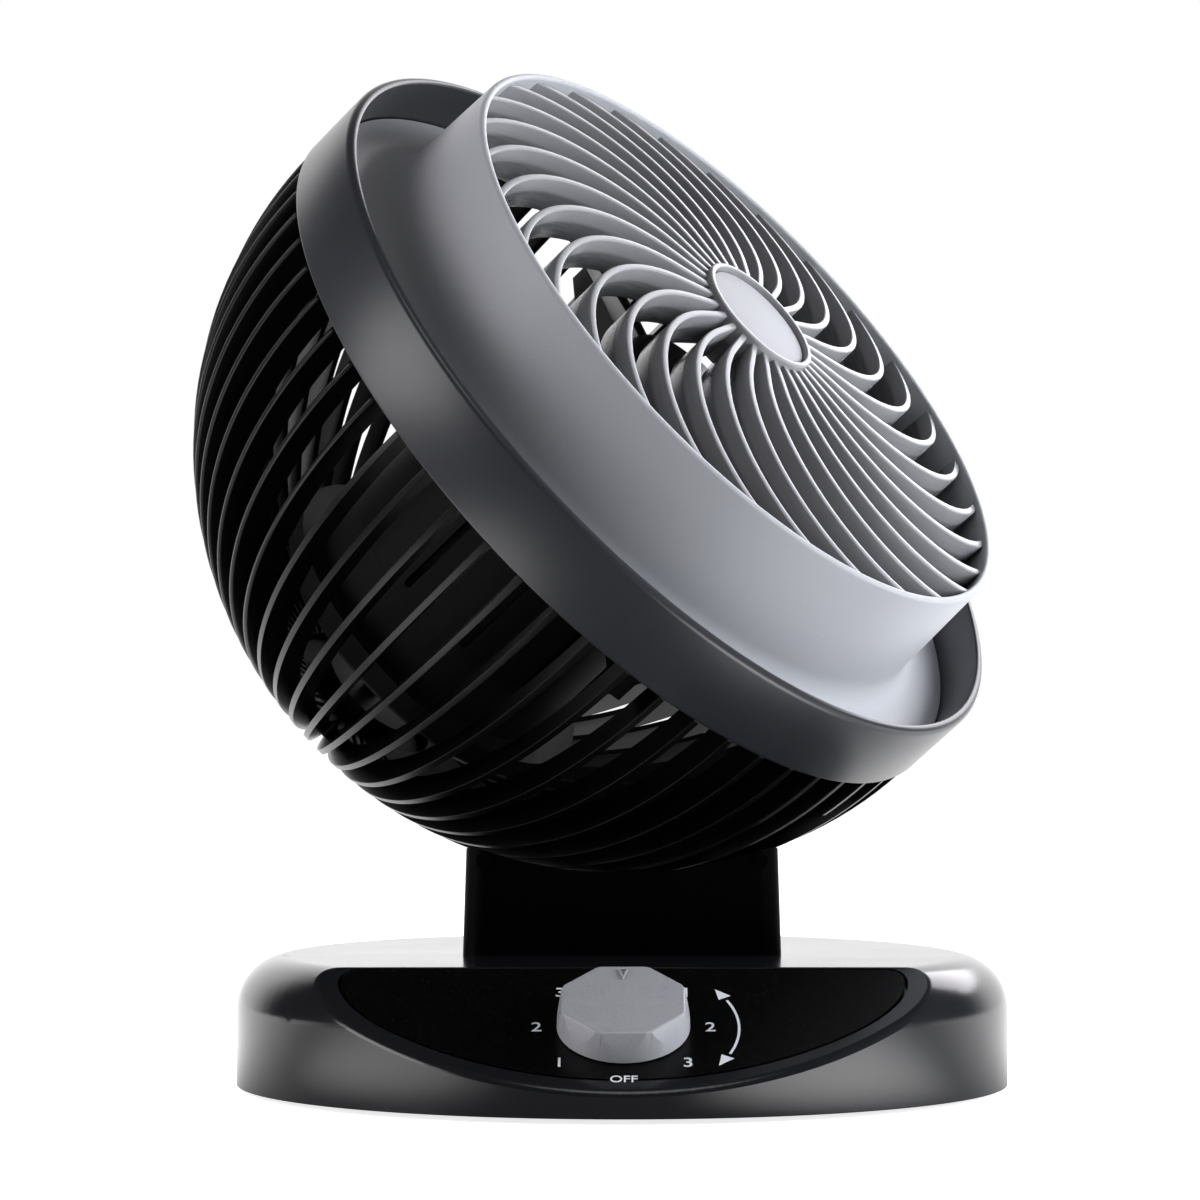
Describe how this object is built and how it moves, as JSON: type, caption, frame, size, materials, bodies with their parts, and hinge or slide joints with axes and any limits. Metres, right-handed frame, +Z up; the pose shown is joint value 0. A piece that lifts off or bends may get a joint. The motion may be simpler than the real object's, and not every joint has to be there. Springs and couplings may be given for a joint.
{
  "type": "oscillating table fan",
  "caption": "Table fan with a ball-shaped ribbed head and a deep spiral grille that turns and tilts on a short neck over a round base with a sloping dial panel.",
  "frame": {"origin": "centre of the round base on the plane that its feet stand on", "axes": "+Z up, the control panel faces -Y, +X to the right as seen from the front"},
  "size_m": [0.235, 0.265, 0.2949],
  "materials": {
    "body_black": "semi-gloss moulded black plastic",
    "plate_black": "matte moulded black plastic",
    "panel_black": "gloss black inlay with printed dial marks",
    "foot_rubber": "soft black rubber",
    "shroud_grey": "satin silver-grey paint on plastic",
    "knob_silver": "satin silver-grey paint on plastic",
    "medallion_silver": "satin bright metal disc",
    "motor_grey": "dark grey moulded plastic",
    "wheel_grey": "satin grey moulded plastic",
    "winding_brass": "varnished windings and sintered bronze",
    "steel": "plain steel"
  },
  "bodies": {
    "stand": {"base_shell": "body_black", "base_plate": "plate_black", "base_feet": "foot_rubber", "base_screws": "steel", "control_panel": "panel_black", "rotary_switch": "plate_black", "cord_gland": "plate_black", "neck_shell": "body_black", "neck_screws": "steel", "oscillation_drive": "plate_black", "swivel_bush": "winding_brass"},
    "knob": {"speed_knob": "knob_silver", "switch_spindle": "steel"},
    "swivel": {"turntable": "steel", "swivel_retainer": "steel", "tilt_bracket": "plate_black", "tilt_clamp": "plate_black", "clamp_screws": "steel"},
    "head": {"cage_ribs_1": "body_black", "cage_ribs_2": "body_black", "cage_ribs_3": "body_black", "cage_ribs_4": "body_black", "cage_ribs_5": "body_black", "cage_ribs_6": "body_black", "tilt_track": "body_black", "cage_hub": "body_black", "cage_band": "body_black", "front_shroud": "shroud_grey", "shroud_screws": "steel", "grille_ribs": "shroud_grey", "grille_hub": "shroud_grey", "grille_medallion": "medallion_silver", "motor_cap": "motor_grey", "motor_case": "motor_grey", "motor_stator": "winding_brass", "rear_bearing": "steel", "front_bearing": "steel", "motor_spider": "motor_grey", "motor_tie": "body_black"},
    "wheel": {"motor_shaft": "steel", "motor_rotor": "steel", "fan_wheel": "wheel_grey", "wheel_nut": "wheel_grey"}
  },
  "joints": [
    {"name": "oscillation", "type": "hinge", "parent": "stand", "child": "swivel", "pos_m": [0, 0.03, 0.05], "axis": [0, 0, 1], "range_deg": [-121.6, 0]},
    {"name": "tilt", "type": "hinge", "parent": "swivel", "child": "head", "pos_m": [0, 0.03, 0.1838], "axis": [-0.4879, -0.8729, 0], "range_deg": [-39.4, 10.6]},
    {"name": "wheel_spin", "type": "hinge", "parent": "head", "child": "wheel", "pos_m": [0, 0.03, 0.1838], "axis": [0.6745, -0.377, 0.6347], "continuous": true},
    {"name": "knob_turn", "type": "hinge", "parent": "stand", "child": "knob", "pos_m": [0, -0.08254, 0.02359], "axis": [0, -0.4772, 0.8788], "range_deg": [-135, 180]}
  ]
}
